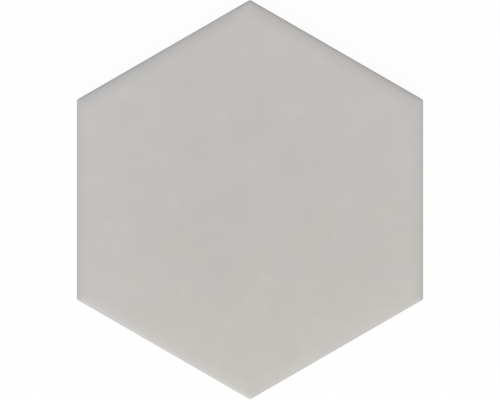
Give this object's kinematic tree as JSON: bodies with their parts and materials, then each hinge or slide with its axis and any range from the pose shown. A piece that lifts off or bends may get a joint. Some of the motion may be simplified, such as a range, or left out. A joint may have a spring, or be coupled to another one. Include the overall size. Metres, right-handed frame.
{
  "type": "hexagon floor tile",
  "caption": "Regular hexagonal floor tile of pale grey satin-glazed porcelain, with a softly cushioned edge and a keyed back.",
  "frame": {"origin": "middle of the plane that the keyed back rests on", "axes": "+Z from the back to the glazed face, +X square to a flat side, +Y towards a corner"},
  "size_m": [0.175, 0.2016, 0.009],
  "materials": {
    "glazed_porcelain": "satin"
  },
  "bodies": {
    "root": {"hexagon_tile": "glazed_porcelain"}
  },
  "joints": []
}
